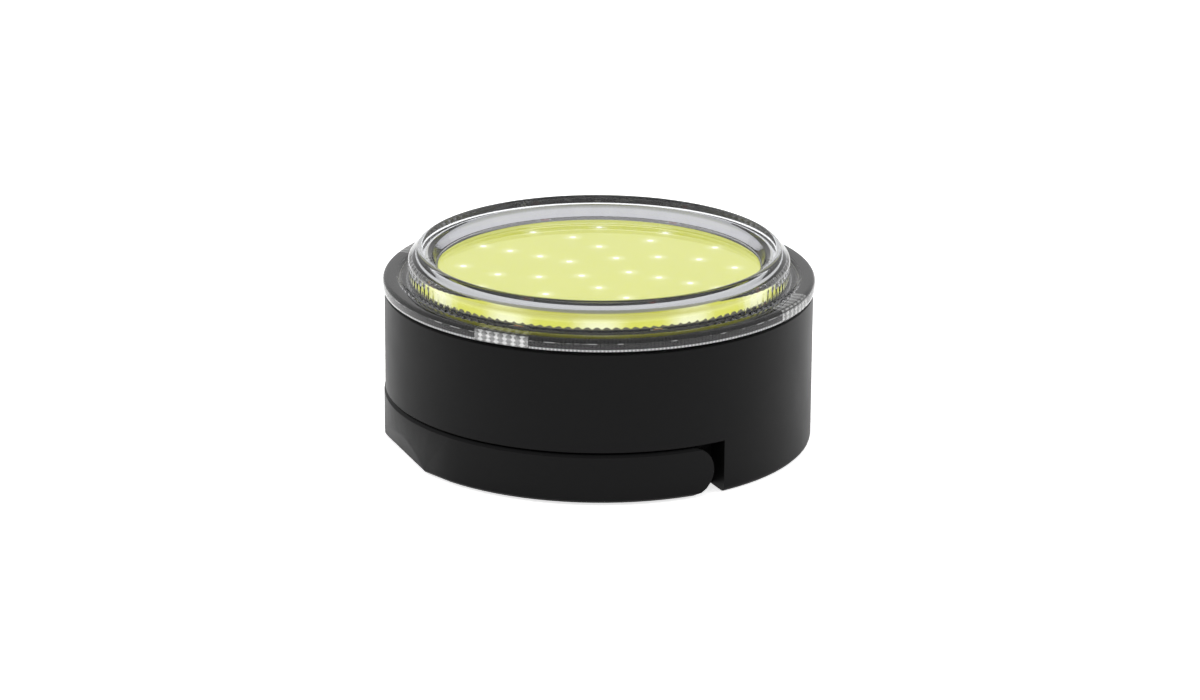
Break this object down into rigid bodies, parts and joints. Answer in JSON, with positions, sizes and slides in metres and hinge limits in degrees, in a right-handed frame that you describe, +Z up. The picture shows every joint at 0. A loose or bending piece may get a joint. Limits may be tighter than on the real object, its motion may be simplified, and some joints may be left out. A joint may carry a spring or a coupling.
{
  "type": "battery road flare",
  "caption": "Round black battery road flare with a glowing yellow face under a clear ringed cover, a magnetic base and a half-ring bail stowed round the foot.",
  "frame": {"origin": "middle of the base, on the surface the flare stands on", "axes": "+Z up through the clear cover; the bail pivots about X and is stowed round the -Y side; the power button is on the +Y side"},
  "size_m": [0.0806, 0.0806, 0.0366],
  "materials": {
    "black_plastic": "fine matte moulded plastic",
    "black_rubber": "matte",
    "clear_plastic": "clear and polished",
    "grey_plastic": "moulded",
    "yellow_phosphor": "soft silicone over chips",
    "white_board": "white solder mask on an aluminium core",
    "green_board": "solder mask",
    "red_lamp": "clear red",
    "steel": "zinc plated",
    "nickel": "nickel plated",
    "cell_wrap": "plain printed film, no lettering",
    "ferrite": "matte",
    "red_wire": "smooth",
    "black_wire": "smooth"
  },
  "bodies": {
    "lamp": {"housing": "black_plastic", "clear_cover": "clear_plastic", "cover_seal": "black_rubber", "lamp_carrier": "grey_plastic", "carrier_screw_1": "steel", "carrier_screw_2": "steel", "carrier_screw_3": "steel", "lamp_board": "white_board", "phosphor_face": "yellow_phosphor", "red_lamp_1": "red_lamp", "red_lamp_2": "red_lamp", "red_lamp_3": "red_lamp", "red_lamp_4": "red_lamp", "red_lamp_5": "red_lamp", "red_lamp_6": "red_lamp", "red_lamp_7": "red_lamp", "red_lamp_8": "red_lamp", "battery_tray": "black_plastic", "battery_1": "cell_wrap", "battery_2": "cell_wrap", "battery_3": "cell_wrap", "minus_spring_1": "steel", "minus_spring_2": "steel", "minus_spring_3": "steel", "plus_contact_1": "nickel", "plus_contact_2": "nickel", "plus_contact_3": "nickel", "control_board": "green_board", "driver_chip": "black_plastic", "power_coil": "ferrite", "button_switch": "black_plastic", "lamp_wire_plus": "red_wire", "lamp_wire_minus": "black_wire", "battery_wire_plus": "red_wire", "battery_wire_minus": "black_wire", "magnet_1": "nickel", "magnet_2": "nickel", "magnet_3": "nickel", "magnet_4": "nickel"},
    "bail": {"bail": "black_plastic"},
    "button": {"power_button": "black_rubber"},
    "door": {"battery_door": "black_plastic"}
  },
  "joints": [
    {"name": "bail_swing", "type": "hinge", "parent": "lamp", "child": "bail", "pos_m": [0, 0, 0.005], "axis": [1, 0, 0], "range_deg": [0, 105]},
    {"name": "button_press", "type": "slide", "parent": "lamp", "child": "button", "axis": [0, -1, 0], "range_m": [0, 0.0008], "stiffness_N_per_m": 1500},
    {"name": "battery_door_off", "type": "slide", "parent": "lamp", "child": "door", "axis": [0, 0, -1], "range_m": [0, 0.02]}
  ]
}
